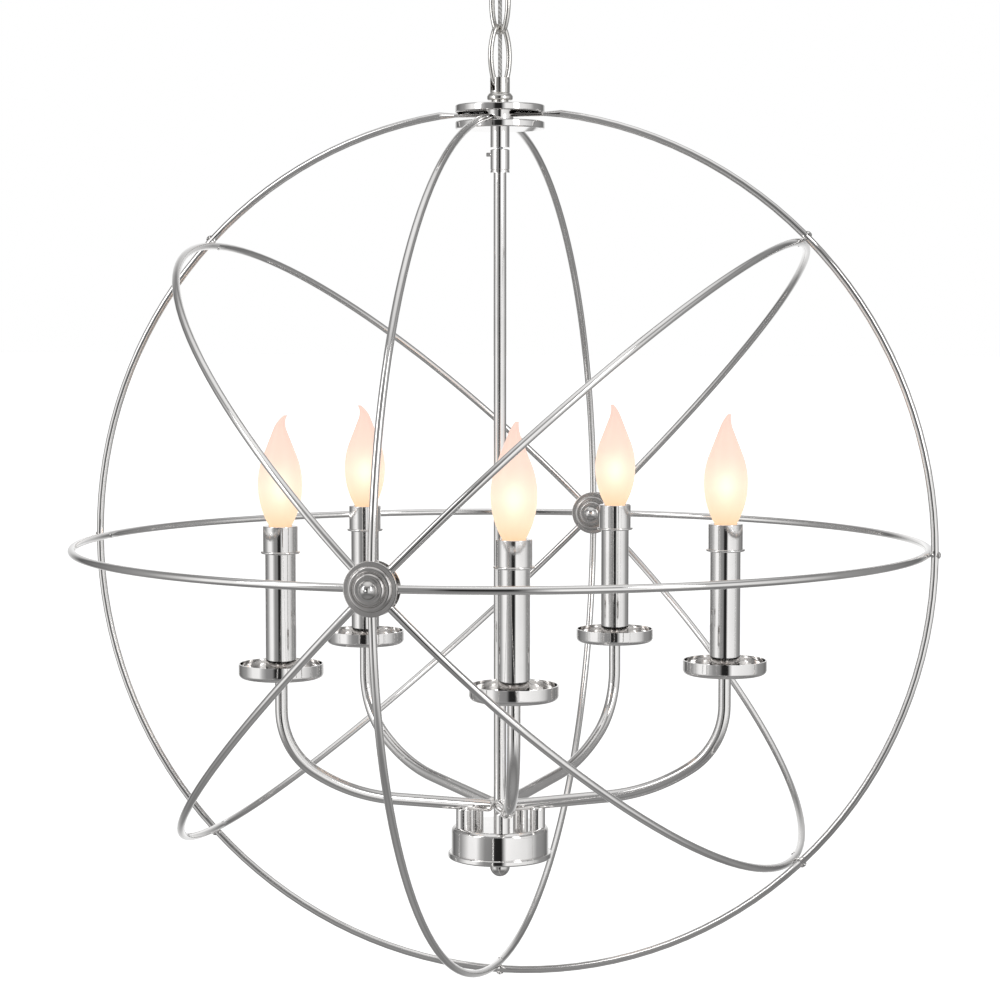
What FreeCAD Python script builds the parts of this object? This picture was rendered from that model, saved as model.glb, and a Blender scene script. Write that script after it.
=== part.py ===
import FreeCAD, Part
import math
import os
import Sketcher

# Orb chandelier, in millimetres. The ceiling is the plane z = 0 and the lamp hangs below it.
# The hub axis of the ring cage runs along Y, with the front hub at -Y.

SIZES = {
    # ceiling set: slotted crossbar, canopy, threaded loop and the collar that holds the canopy up
    "bar_end": 4.55,
    "bar_width": 22.0,
    "bar_thickness": 2.5,
    "bar_slot_spacing": 88.9,
    "bar_slot_length": 14.0,
    "bar_slot_width": 5.0,
    "bar_flange": 6.0,
    "canopy_diameter": 127.0,
    "canopy_height": 27.0,
    "canopy_wall": 1.0,
    "canopy_shoulder": 18.0,
    "collar_height": 5.0,
    "collar_rim": 5.0,
    "loop_thread_diameter": 24.0,
    "loop_body_height": 16.0,
    "loop_neck_height": 6.0,
    "loop_neck_diameter": 10.0,
    "loop_ring_radius": 9.0,
    "loop_wire": 4.5,
    # pipe thread shared by every hollow nipple
    "pipe_diameter": 10.0,
    "pipe_bore": 7.6,
    # chain and cord
    "link_length": 48.0,
    "link_width": 22.0,
    "link_wire": 4.0,
    "link_end_radius": 6.0,
    "chain_turn": 56.0,
    "cord_diameter": 3.0,
    "cord_hole": 3.8,
    # clevis fitting on top of the cage
    "fitting_diameter": 14.6,
    "fitting_bore": 13.0,
    "fitting_rim": 1.0,
    "fitting_slot": 5.0,
    "fitting_pin": 3.2,
    "fitting_swing_room": 1.1,
    "fitting_floor": 1.3,
    "fitting_thread_reach": 3.1,
    "fitting_collar_diameter": 19.0,
    "fitting_collar_height": 5.6,
    "fitting_neck_height": 2.2,
    "fitting_neck_diameter": 12.6,
    "washer_diameter": 17.0,
    "washer_thickness": 1.2,
    # plates that clamp the crossing of the two upright rings
    "plate_diameter": 66.0,
    "plate_thickness": 5.5,
    "plate_edge": 1.0,
    # ring cage
    "orb_diameter": 648.0,
    "ring_rod": 5.5,
    "eye_thickness": 3.3,
    "eye_diameter": 20.0,
    "eye_drop": 5.0,
    "eye_bar_width": 9.2,
    "eye_bar_reach": 34.0,
    "eye_bend_reach": 46.0,
    "tab_thickness": 1.5,
    "tab_width": 9.0,
    "tab_reach": 9.5,
    "tab_bend_reach": 17.5,
    "tab_eye_diameter": 13.0,
    "hub_sag": 0.4,
    "hub_stud": 6.0,
    # stepped hub caps and their domed nuts
    "cap_diameter": 35.6,
    "cap_rim": 1.8,
    "cap_step_diameter": 29.4,
    "cap_step_height": 3.8,
    "cap_crown_diameter": 21.0,
    "cap_crown_height": 5.4,
    "nut_diameter": 14.4,
    "nut_height": 7.6,
    "nut_flange": 1.0,
    "nut_thread_depth": 4.6,
    # screws at the crossings
    "screw_diameter": 2.8,
    "screw_head_diameter": 5.0,
    "screw_head_height": 1.5,
    "screw_proud": 0.5,
    # hang-straight swivel
    "swivel_diameter": 14.2,
    "swivel_height": 13.4,
    "swivel_ball": 7.6,
    "swivel_play": 0.2,
    "swivel_seat_rise": 2.0,
    "swivel_ball_rise": 5.0,
    "swivel_seat_wall": 0.7,
    "swivel_mouth": 6.8,
    "swivel_seat_mouth": 5.6,
    "swivel_neck": 4.0,
    "swivel_wire_bore": 2.2,
    "swivel_gap": 1.5,
    "coupling_height": 17.0,
    "coupling_groove": 0.4,
    "coupling_edge": 0.5,
    "coupling_groove_rise": 1.6,
    "coupling_web": 2.0,
    "coupling_neck_depth": 6.5,
    "set_screw_diameter": 3.0,
    "set_screw_drop": 3.6,
    "set_screw_stand": 3.0,
    # stem and the round body that carries the arms
    "stem_diameter": 9.5,
    "stem_bore": 7.0,
    "body_top_depth": 211.5,
    "body_diameter": 73.0,
    "body_height": 24.0,
    "body_wall": 1.2,
    "body_shoulder": 4.0,
    "body_lip_diameter": 78.0,
    "body_lip_height": 4.4,
    "cover_dome": 3.0,
    "cover_thickness": 1.2,
    "finial_diameter": 15.0,
    "finial_skirt": 4.5,
    "finial_thread_depth": 4.0,
    "stem_nut_diameter": 17.0,
    "stem_nut_height": 4.0,
    # arms
    "arm_count": 5,
    "arm_diameter": 9.2,
    "arm_wall": 0.85,
    "arm_root_radius": 9.7,
    "arm_root_rise": 15.5,
    "arm_slope": 8.0,
    "arm_sweep_radius": 145.0,
    "arm_sweep_end": 35.0,
    "arm_bend_radius": 57.0,
    "arm_upright": 23.2,
    "post_diameter": 11.6,
    "post_radius": 29.0,
    "post_crown": 3.0,
    "post_saddle": 2.6,
    "post_wire_bore": 5.0,
    # candles
    "candle_radius": 170.0,
    "dish_diameter": 61.5,
    "dish_height": 10.5,
    "dish_wall": 1.1,
    "dish_corner": 3.6,
    "tip_thread_diameter": 7.4,
    "tip_thread_bore": 4.0,
    "tip_thread_rise": 15.0,
    "tip_thread_sunk": 10.0,
    "candle_nut_diameter": 14.0,
    "candle_nut_height": 3.0,
    "sleeve_diameter": 22.2,
    "sleeve_wall": 0.8,
    "sleeve_length": 108.0,
    "holder_diameter": 25.2,
    "holder_height": 20.0,
    "holder_bead": 1.7,
    "holder_bead_height": 1.8,
    "holder_lip": 1.2,
    "holder_mouth_diameter": 17.4,
    "socket_diameter": 18.4,
    "socket_stem_diameter": 10.0,
    "socket_web": 2.0,
    "socket_wire_bore": 3.0,
    "lamp_base_diameter": 11.9,
    "lamp_base_length": 20.0,
    "lamp_length": 107.0,
    "lamp_sunk": 26.0,
    "lamp_neck_diameter": 16.0,
    "lamp_belly_rise": 30.0,
    "lamp_belly_diameter": 32.0,
    "lamp_shoulder_rise": 50.0,
    "lamp_shoulder_diameter": 24.8,
    "lamp_point_rise": 70.0,
    "lamp_point_diameter": 9.2,
    "lamp_tip_diameter": 2.4,
    "lamp_tip_lean": 4.2,
    # clearances
    "thread_gap": 0.05,
    "running_gap": 0.3,
    "slip_gap": 0.1,
}


class Size:
    """A number together with the sheet expression that gives it."""

    def __init__(self, value, text):
        self.value = float(value)
        self.text = text

    def __add__(self, other):
        other = as_size(other)
        return Size(self.value + other.value, "({} + {})".format(self.text, other.text))

    def __sub__(self, other):
        other = as_size(other)
        return Size(self.value - other.value, "({} - {})".format(self.text, other.text))

    def __mul__(self, other):
        other = as_size(other)
        return Size(self.value * other.value, "({} * {})".format(self.text, other.text))

    def __truediv__(self, other):
        other = as_size(other)
        return Size(self.value / other.value, "({} / {})".format(self.text, other.text))

    def __neg__(self):
        return Size(-self.value, "(0 - {})".format(self.text))

    def __radd__(self, other):
        return as_size(other) + self

    def __rsub__(self, other):
        return as_size(other) - self

    def __rmul__(self, other):
        return as_size(other) * self


def as_size(value):
    if isinstance(value, Size):
        return value
    return Size(value, repr(float(value)))


def root_of(size):
    return Size(math.sqrt(size.value), "sqrt({})".format(size.text))


def cos_of(degrees):
    degrees = as_size(degrees)
    return Size(math.cos(math.radians(degrees.value)), "cos({})".format(degrees.text))


def sin_of(degrees):
    degrees = as_size(degrees)
    return Size(math.sin(math.radians(degrees.value)), "sin({})".format(degrees.text))


def tan_of(degrees):
    return sin_of(degrees) / cos_of(degrees)


class Dims:
    """The spreadsheet of driving sizes, read as attributes."""

    def __init__(self, doc, sizes):
        sheet = doc.addObject("Spreadsheet::Sheet", "Dims")
        for row, (name, value) in enumerate(sizes.items(), start=1):
            sheet.set("A{}".format(row), name)
            sheet.set("B{}".format(row), str(value))
            sheet.setAlias("B{}".format(row), name)
            setattr(self, name, Size(value, "Dims." + name))


doc = FreeCAD.newDocument("orb_chandelier")
d = Dims(doc, SIZES)
doc.recompute()
V = FreeCAD.Vector
X_AXIS = V(1, 0, 0)
Y_AXIS = V(0, 1, 0)
Z_AXIS = V(0, 0, 1)
nodes = []


# ---------------------------------------------------------------- drawing helpers

def bind(thing, prop, size):
    thing.setExpression(prop, as_size(size).text)


def place(thing, x=0, y=0, z=0, rotation=None):
    x, y, z = as_size(x), as_size(y), as_size(z)
    thing.Placement = FreeCAD.Placement(V(x.value, y.value, z.value), rotation or FreeCAD.Rotation())
    bind(thing, "Placement.Base.x", x)
    bind(thing, "Placement.Base.y", y)
    bind(thing, "Placement.Base.z", z)
    return thing


def turn(axis, degrees):
    return FreeCAD.Rotation(axis, as_size(degrees).value)


def node(thing, name):
    """Registers a finished piece under the name of its file."""
    thing.Label = name
    nodes.append(thing)
    return thing


def new_body(name):
    return doc.addObject("PartDesign::Body", name)


def new_sketch(body, name, role="XZ_Plane", offset=None):
    sketch = body.newObject("Sketcher::SketchObject", name)
    plane = [feature for feature in body.Origin.OriginFeatures if feature.Role == role][0]
    sketch.AttachmentSupport = [(plane, "")]
    sketch.MapMode = "FlatFace"
    if offset is not None:
        bind(sketch, "AttachmentOffset.Base.z", offset)
    return sketch


def pin_point(sketch, geometry, end, x, y):
    """Ties one end of a drawn line or arc to its two sizes."""
    for kind, axis, size in (("DistanceX", -2, as_size(x)), ("DistanceY", -1, as_size(y))):
        if size.value == 0.0:
            sketch.addConstraint(Sketcher.Constraint("PointOnObject", geometry, end, axis))
        else:
            index = sketch.addConstraint(Sketcher.Constraint(kind, -1, 1, geometry, end, size.value))
            bind(sketch, "Constraints[{}]".format(index), size)


def arc_through(start, stop, radius):
    """The short arc from start to stop; a positive radius turns left, a negative one right."""
    middle = (start + stop) * 0.5
    chord = stop - start
    left = V(-chord.y, chord.x, 0).normalize()
    rise = math.sqrt(max(radius * radius - chord.Length ** 2 / 4, 0.0))
    centre = middle + left * rise * (1 if radius > 0 else -1)
    first, last = (start, stop) if radius > 0 else (stop, start)
    angles = [math.atan2(point.y - centre.y, point.x - centre.x) for point in (first, last)]
    if angles[1] < angles[0]:
        angles[1] += 2 * math.pi
    return Part.ArcOfCircle(Part.Circle(centre, Z_AXIS, abs(radius)), angles[0], angles[1])


def draw(sketch, steps, closed=True):
    """Draws (x, y) lines and (x, y, radius) arcs from the first point on, every point tied to sizes."""
    points = [tuple(as_size(part) for part in step) for step in steps]
    if closed:
        points.append(points[0][:2])
    ends = []
    for before, after in zip(points, points[1:]):
        start = V(before[0].value, before[1].value, 0)
        stop = V(after[0].value, after[1].value, 0)
        if len(after) == 3:
            index = sketch.addGeometry(arc_through(start, stop, after[2].value), False)
            radius = after[2] if after[2].value > 0 else -after[2]
            ends.append((index, 1, 2) if after[2].value > 0 else (index, 2, 1))
            row = sketch.addConstraint(Sketcher.Constraint("Radius", index, radius.value))
            bind(sketch, "Constraints[{}]".format(row), radius)
        else:
            index = sketch.addGeometry(Part.LineSegment(start, stop), False)
            ends.append((index, 1, 2))
    for before, after in zip(ends, ends[1:]):
        sketch.addConstraint(Sketcher.Constraint("Coincident", before[0], before[2], after[0], after[1]))
    if closed:
        sketch.addConstraint(Sketcher.Constraint("Coincident", ends[-1][0], ends[-1][2], ends[0][0], ends[0][1]))
    for (index, first, _), point in zip(ends, points):
        pin_point(sketch, index, first, point[0], point[1])
    if not closed:
        pin_point(sketch, ends[-1][0], ends[-1][2], points[-1][0], points[-1][1])
    return sketch


def draw_circles(sketch, circles):
    for x, y, radius in circles:
        x, y, radius = as_size(x), as_size(y), as_size(radius)
        index = sketch.addGeometry(Part.Circle(V(x.value, y.value, 0), Z_AXIS, radius.value), False)
        pin_point(sketch, index, 3, x, y)
        row = sketch.addConstraint(Sketcher.Constraint("Radius", index, radius.value))
        bind(sketch, "Constraints[{}]".format(row), radius)
    return sketch


def spun(name, steps):
    """A turned or spun piece: its half section in the XZ plane, revolved about Z."""
    body = new_body(name)
    sketch = draw(new_sketch(body, name + "_section"), steps)
    feature = body.newObject("PartDesign::Revolution", name + "_turned")
    feature.Profile = sketch
    feature.ReferenceAxis = (sketch, ["V_Axis"])
    feature.Angle = 360
    return body


def tube_steps(outer, inner, low, high):
    return [(inner, low), (outer, low), (outer, high), (inner, high)]


def cylinder(name, radius, height):
    piece = doc.addObject("Part::Cylinder", name)
    bind(piece, "Radius", radius)
    bind(piece, "Height", height)
    return piece


def cut(name, base, tools):
    tool = tools[0]
    if len(tools) > 1:
        tool = doc.addObject("Part::Compound", name + "_cutters")
        tool.Links = tools
    piece = doc.addObject("Part::Cut", name)
    piece.Base = base
    piece.Tool = tool
    return piece


def fuse(name, pieces):
    piece = doc.addObject("Part::MultiFuse", name)
    piece.Shapes = pieces
    piece.Refine = False
    return piece


def group(name, pieces):
    piece = doc.addObject("Part::Compound", name)
    piece.Links = pieces
    return piece


# ---------------------------------------------------------------- heights, from the ceiling down

collar_top = -d.canopy_height
collar_bottom = collar_top - d.collar_height
loop_centre = collar_bottom - d.loop_neck_height - d.loop_ring_radius - d.loop_wire / 2
loop_bottom = loop_centre - d.loop_ring_radius
link_half = (d.link_length - d.link_wire) / 2
link_half_width = (d.link_width - d.link_wire) / 2
first_hook = d.loop_wire / 2 + d.link_wire / 2 + d.running_gap
link_hook = d.link_wire + d.running_gap
link_centres = [loop_bottom + first_hook - link_half]
for _ in range(2):
    link_centres.append(link_centres[-1] - link_half + link_hook - link_half)
chain_bottom = link_centres[-1] - link_half
pin_height = chain_bottom + d.link_wire / 2 + d.fitting_pin / 2 + d.running_gap
fitting_top = pin_height + d.fitting_pin / 2 + d.fitting_rim
slot_floor = chain_bottom - d.link_wire / 2 - d.fitting_swing_room
fitting_collar_top = slot_floor - d.fitting_floor
fitting_collar_bottom = fitting_collar_top - d.fitting_collar_height
fitting_bottom = fitting_collar_bottom - d.fitting_neck_height
plate_top = fitting_bottom - d.washer_thickness
eye_level = plate_top - d.plate_thickness - d.eye_thickness
main_radius = d.orb_diameter / 2 - d.ring_rod / 2
ring_radius = main_radius - d.ring_rod - d.running_gap
orb = eye_level - main_radius + d.eye_drop
lower_plate_top = eye_level - d.eye_thickness
lower_plate_bottom = lower_plate_top - d.plate_thickness
swivel_bottom = lower_plate_bottom - d.swivel_height
ball_height = swivel_bottom + d.swivel_ball_rise
coupling_top = swivel_bottom - d.swivel_gap
coupling_bottom = coupling_top - d.coupling_height
body_top = orb - d.body_top_depth
body_bottom = body_top - d.body_height
arm_root = body_top + d.arm_root_rise
bend = d.arm_bend_radius
sweep = d.arm_sweep_radius
bend_turn = 90 - d.arm_sweep_end
sweep_turn = 90 - d.arm_slope
bend_end_x = d.candle_radius - bend + bend * cos_of(bend_turn)
sweep_end_x = bend_end_x - sweep * cos_of(bend_turn) + sweep * cos_of(sweep_turn)
sweep_end = arm_root + (sweep_end_x - d.arm_root_radius) * tan_of(d.arm_slope)
bend_end = sweep_end + sweep * (sin_of(sweep_turn) - sin_of(bend_turn))
upright_end = bend_end + bend * sin_of(bend_turn)
dish_bottom = upright_end + d.arm_upright
sleeve_bottom = dish_bottom + d.dish_wall
sleeve_top = sleeve_bottom + d.sleeve_length
holder_top = sleeve_top + d.holder_lip
holder_bottom = holder_top - d.holder_height

pipe_radius = d.pipe_diameter / 2
pipe_hole = pipe_radius + d.slip_gap
thread_hole = pipe_radius + d.thread_gap


# ---------------------------------------------------------------- ceiling set

def box(name, length, width, height):
    piece = doc.addObject("Part::Box", name)
    bind(piece, "Length", length)
    bind(piece, "Width", width)
    bind(piece, "Height", height)
    return piece


def slot_cutters(name, x):
    """A round-ended slot through the strap, centred at x."""
    reach = (d.bar_slot_length - d.bar_slot_width) / 2
    radius = d.bar_slot_width / 2
    run = place(box(name + "_run", reach * 2, d.bar_slot_width, d.bar_flange), x - reach, -radius, -d.bar_flange / 2)
    cutters = [run]
    for side in (-1, 1):
        end = cylinder("{}_end_{}".format(name, len(cutters)), radius, d.bar_flange)
        cutters.append(place(end, x + reach * side, 0, -d.bar_flange / 2))
    return cutters


bar_length = d.bar_slot_spacing + d.bar_slot_length + d.bar_end * 2
strap = place(box("bar_strap", bar_length, d.bar_width, d.bar_thickness),
              -bar_length / 2, -d.bar_width / 2, -d.bar_thickness)
ribs = []
for side, y in (("front", -d.bar_width / 2), ("back", d.bar_width / 2 - d.bar_thickness)):
    rib = box("bar_rib_" + side, bar_length, d.bar_thickness, d.bar_flange)
    ribs.append(place(rib, -bar_length / 2, y, -d.bar_flange))
nipple_hole = place(cylinder("bar_nipple_hole", thread_hole, d.bar_flange), 0, 0, -d.bar_flange / 2)
slots = slot_cutters("slot_left", -d.bar_slot_spacing / 2) + slot_cutters("slot_right", d.bar_slot_spacing / 2)
node(cut("crossbar", fuse("bar_blank", [strap] + ribs), [nipple_hole] + slots), "crossbar")

loop_body_top = collar_bottom + d.loop_body_height
canopy_nipple_bottom = loop_body_top - d.bar_flange
node(spun("canopy_nipple", tube_steps(pipe_radius, d.pipe_bore / 2, canopy_nipple_bottom, -d.bar_thickness / 2)),
     "canopy_nipple")

# the loop hangs from the nipple; its ring and neck are one casting with the threaded body
loop_thread_radius = d.loop_thread_diameter / 2
loop_neck_radius = d.loop_neck_diameter / 2
loop_neck_bottom = collar_bottom - d.loop_neck_height - d.loop_wire / 2
loop_turned = spun("loop_turned", [
    (0, loop_neck_bottom),
    (loop_neck_radius / 2, loop_neck_bottom),
    (loop_neck_radius, collar_bottom - d.loop_neck_height / 2),
    (loop_neck_radius, collar_bottom),
    (loop_thread_radius, collar_bottom),
    (loop_thread_radius, loop_body_top),
    (thread_hole, loop_body_top),
    (thread_hole, canopy_nipple_bottom - d.slip_gap),
    (0, canopy_nipple_bottom - d.slip_gap)])
loop_ring = doc.addObject("Part::Torus", "loop_ring")
bind(loop_ring, "Radius1", d.loop_ring_radius)
bind(loop_ring, "Radius2", d.loop_wire / 2)
place(loop_ring, 0, 0, loop_centre, turn(Z_AXIS, d.chain_turn + 90) * turn(X_AXIS, 90))

# The cord runs down one side of the chain, between the planes of the links:
# (distance from the chain's line, height) of each point of its route.
CORD_LEAN = 48.4
CORD_ROUTE = [
    (7.2, -9.0),
    (7.2, -36.0),
    (7.7, -76.0),
    (6.9, -118.0),
    (7.1, -150.0),
    (4.85, -167.5),
    (4.8, -180.2),
    (1.6, -186.0),
    (1.5, -197.0),
]
cord_turn = d.chain_turn + CORD_LEAN
cord_hole = cylinder("cord_hole", d.cord_hole / 2, d.canopy_height)
place(cord_hole, cos_of(cord_turn) * CORD_ROUTE[0][0], sin_of(cord_turn) * CORD_ROUTE[0][0],
      collar_bottom - d.loop_neck_height / 2)
node(cut("canopy_loop", fuse("loop_blank", [loop_turned, loop_ring]), [cord_hole]), "canopy_loop")

canopy_radius = d.canopy_diameter / 2
canopy_hole = loop_thread_radius + d.slip_gap
shoulder = d.canopy_shoulder
node(spun("canopy", [
    (canopy_radius, 0),
    (canopy_radius, shoulder - d.canopy_height),
    (canopy_radius - shoulder, -d.canopy_height, -shoulder),
    (canopy_hole, -d.canopy_height),
    (canopy_hole, d.canopy_wall - d.canopy_height),
    (canopy_radius - shoulder, d.canopy_wall - d.canopy_height),
    (canopy_radius - d.canopy_wall, shoulder - d.canopy_height, shoulder - d.canopy_wall),
    (canopy_radius - d.canopy_wall, 0)]), "canopy")

collar_round = d.collar_height / 2
collar_radius = loop_thread_radius + d.collar_rim
node(spun("screw_collar", [
    (canopy_hole, collar_bottom),
    (collar_radius - collar_round, collar_bottom),
    (collar_radius, collar_bottom + collar_round, collar_round),
    (collar_radius, collar_top),
    (canopy_hole, collar_top)]), "screw_collar")


# ---------------------------------------------------------------- chain and cord

def torus_arc(name, radius, wire, sweep):
    piece = doc.addObject("Part::Torus", name)
    bind(piece, "Radius1", radius)
    bind(piece, "Radius2", wire / 2)
    piece.Angle3 = sweep
    return piece


def make_link(name, centre, azimuth):
    """An oval of round wire: two tight end arcs and two slack side arcs, tangent to each other."""
    end_offset = link_half - d.link_end_radius
    slack = end_offset * end_offset + link_half_width * link_half_width - d.link_end_radius * d.link_end_radius
    side_radius = slack / (2 * (link_half_width - d.link_end_radius))
    spread = math.degrees(math.atan2(end_offset.value, side_radius.value - link_half_width.value))
    arcs = []
    for side, sign in ((0, 1), (180, -1)):
        arc = torus_arc("{}_side_{}".format(name, side), side_radius, d.link_wire, 2 * spread)
        upright = turn(X_AXIS, 90) * turn(Z_AXIS, side - spread)
        arcs.append(place(arc, (link_half_width - side_radius) * sign, 0, 0, upright))
    for side, sign in ((90, 1), (270, -1)):
        arc = torus_arc("{}_end_{}".format(name, side), d.link_end_radius, d.link_wire, 180 - 2 * spread)
        upright = turn(X_AXIS, 90) * turn(Z_AXIS, side - 90 + spread)
        arcs.append(place(arc, 0, 0, end_offset * sign, upright))
    return place(fuse(name, arcs), 0, 0, centre, turn(Z_AXIS, azimuth))


for number, centre in enumerate(link_centres, start=1):
    azimuth = d.chain_turn if number % 2 else d.chain_turn + 90
    name = "chain_link_{}".format(number)
    node(make_link(name, centre, azimuth), name)


def corner_arc(before, corner, after):
    """The tangent arc that rounds one corner of a route, with its two ends and its radius."""
    first, second = before - corner, after - corner
    setback = 0.45 * min(first.Length, second.Length)
    first.normalize()
    second.normalize()
    half_turn = (math.pi - first.getAngle(second)) / 2
    radius = setback / math.tan(half_turn)
    bisector = (first + second).normalize()
    centre = corner + bisector * (radius / math.cos(half_turn))
    start, stop = corner + first * setback, corner + second * setback
    return Part.Arc(start, centre - bisector * radius, stop), start, stop, radius


def make_cord():
    along = V(math.cos(math.radians(cord_turn.value)), math.sin(math.radians(cord_turn.value)), 0)
    points = [along * out + V(0, 0, height) for out, height in CORD_ROUTE]
    edges = []
    radii = []
    here = points[0]
    for before, corner, after in zip(points, points[1:], points[2:]):
        arc, start, stop, radius = corner_arc(before, corner, after)
        edges += [Part.LineSegment(here, start).toShape(), arc.toShape()]
        here = stop
        radii.append(round(radius, 1))
    edges.append(Part.LineSegment(here, points[-1]).toShape())
    path = Part.Wire(edges)
    section = Part.Wire(Part.makeCircle(d.cord_diameter.value / 2, points[0], points[1] - points[0]))
    tube = path.makePipeShell([section], True, False)
    expected = math.pi * d.cord_diameter.value ** 2 / 4 * path.Length
    print("cord radii", radii, "length", round(path.Length, 1), "volume share", round(tube.Volume / expected, 4))
    return tube


supply_cord = doc.addObject("Part::Feature", "supply_cord")
supply_cord.Shape = make_cord()
node(supply_cord, "supply_cord")


# ---------------------------------------------------------------- clevis fitting and clamp plates

fitting_radius = d.fitting_diameter / 2
fitting_hollow_floor = fitting_collar_top - d.fitting_rim
fitting_collar_radius = d.fitting_collar_diameter / 2
fitting_round = d.fitting_collar_height / 4
fitting_turned = spun("fitting_turned", [
    (thread_hole, fitting_bottom),
    (d.fitting_neck_diameter / 2, fitting_bottom),
    (d.fitting_neck_diameter / 2, fitting_collar_bottom),
    (fitting_collar_radius - fitting_round, fitting_collar_bottom),
    (fitting_collar_radius, fitting_collar_bottom + fitting_round, fitting_round),
    (fitting_collar_radius, fitting_collar_bottom + fitting_round * 2),
    (fitting_radius, fitting_collar_top, d.fitting_collar_height),
    (fitting_radius, fitting_top),
    (d.fitting_bore / 2, fitting_top),
    (d.fitting_bore / 2, fitting_hollow_floor),
    (thread_hole, fitting_hollow_floor - (d.fitting_bore / 2 - thread_hole))])
link_slot = place(box("fitting_link_slot", d.fitting_collar_diameter, d.fitting_slot,
                      fitting_top - slot_floor + d.fitting_rim),
                  -fitting_collar_radius, -d.fitting_slot / 2, slot_floor)
pin_turn = turn(X_AXIS, 90)
pin_hole = place(cylinder("fitting_pin_hole", d.fitting_pin / 2 + d.thread_gap, d.fitting_collar_diameter),
                 0, fitting_collar_radius, pin_height, pin_turn)
fitting = cut("fixture_loop", fitting_turned, [link_slot, pin_hole])
node(place(fitting, 0, 0, 0, turn(Z_AXIS, d.chain_turn)), "fixture_loop")

loop_pin = cylinder("loop_pin", d.fitting_pin / 2, d.fitting_diameter)
loop_pin_direction = turn(Z_AXIS, d.chain_turn) * pin_turn
node(place(loop_pin, fitting_radius * -sin_of(d.chain_turn), fitting_radius * cos_of(d.chain_turn), pin_height,
           loop_pin_direction), "loop_pin")

node(spun("loop_washer", tube_steps(d.washer_diameter / 2, pipe_hole, plate_top, fitting_bottom)), "loop_washer")

nipple_top = fitting_bottom + d.fitting_thread_reach
nipple_bottom = ball_height + d.swivel_ball / 2 + d.swivel_seat_wall + d.swivel_play * 3
node(spun("top_nipple", tube_steps(pipe_radius, d.pipe_bore / 2, nipple_bottom, nipple_top)), "top_nipple")


def make_plate(name, bottom):
    """A turned disc with softened rims, clamped by the nipple."""
    radius = d.plate_diameter / 2
    top = bottom + d.plate_thickness
    edge = d.plate_edge
    return spun(name, [
        (pipe_hole, bottom),
        (radius - edge, bottom),
        (radius, bottom + edge, edge),
        (radius, top - edge),
        (radius - edge, top, edge),
        (pipe_hole, top)])


node(make_plate("top_plate", plate_top - d.plate_thickness), "top_plate")
node(make_plate("lower_plate", lower_plate_bottom), "lower_plate")


# ---------------------------------------------------------------- ring cage

class RingEnd:
    """Where a ring is flattened into a bar and holed: its angle, its level and its sizes."""

    def __init__(self, angle, level, bend, reach, width, thickness, eye, hole):
        self.angle = angle
        self.level = level
        self.bend = bend
        self.reach = reach
        self.width = width
        self.thickness = thickness
        self.eye = eye
        self.hole = hole


def hub_end(angle, place_in_stack):
    """A thin tab between the hub caps; four rings stack there, one tab thickness apart."""
    level = ring_radius - d.hub_sag + (place_in_stack - 1.5) * d.tab_thickness
    return RingEnd(angle, level, d.tab_bend_reach, d.tab_reach, d.tab_width, d.tab_thickness,
                   d.tab_eye_diameter, d.hub_stud / 2 + d.slip_gap)


def top_end(angle, radius_above_orb):
    """A thicker eye between the clamp plates, threaded over the nipple."""
    return RingEnd(angle, radius_above_orb, d.eye_bend_reach, d.eye_bar_reach, d.eye_bar_width, d.eye_thickness,
                   d.eye_diameter, pipe_hole)


def oval(name, half_width, half_thickness, x, y, direction):
    """A flat section of the rod: width along the ring's axis, drawn square to the given direction."""
    piece = doc.addObject("Part::Ellipse", name)
    bind(piece, "MajorRadius", half_width)
    bind(piece, "MinorRadius", half_thickness)
    return place(piece, x, y, 0, FreeCAD.Rotation(Z_AXIS, V(), direction, "ZXY"))


def flattened_end(name, radius, end, side):
    """One side of a flattened place: a loft from the round rod to the flat bar, and the bar itself."""
    lean = math.asin(end.bend.value / radius.value)
    rise = root_of(radius * radius - end.bend * end.bend)
    round_section = oval(name + "_rod_end", d.ring_rod / 2, d.ring_rod / 2, end.bend * side, rise,
                         V(-side * math.cos(lean), math.sin(lean), 0))
    flat_sections = []
    for place_name, x in (("outer", end.reach * side), ("inner", end.eye / 4 * side)):
        flat_sections.append(oval(name + "_flat_" + place_name, end.width / 2, end.thickness / 2, x, end.level,
                                  V(-side, 0, 0)))
    pieces = []
    for part_name, sections in (("bend", [round_section, flat_sections[0]]), ("bar", flat_sections)):
        loft = doc.addObject("Part::Loft", "{}_{}".format(name, part_name))
        loft.Sections = sections
        loft.Solid = True
        loft.Ruled = True
        pieces.append(loft)
    return pieces


def radial_cylinder(name, radius, low, high, angle):
    """A cylinder that points outwards from the ring's centre at the given angle."""
    piece = cylinder(name, radius, high - low)
    low = as_size(low)
    lie_down = turn(Z_AXIS, angle) * turn(Y_AXIS, 90)
    return place(piece, cos_of(angle) * low, sin_of(angle) * low, 0, lie_down)


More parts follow.
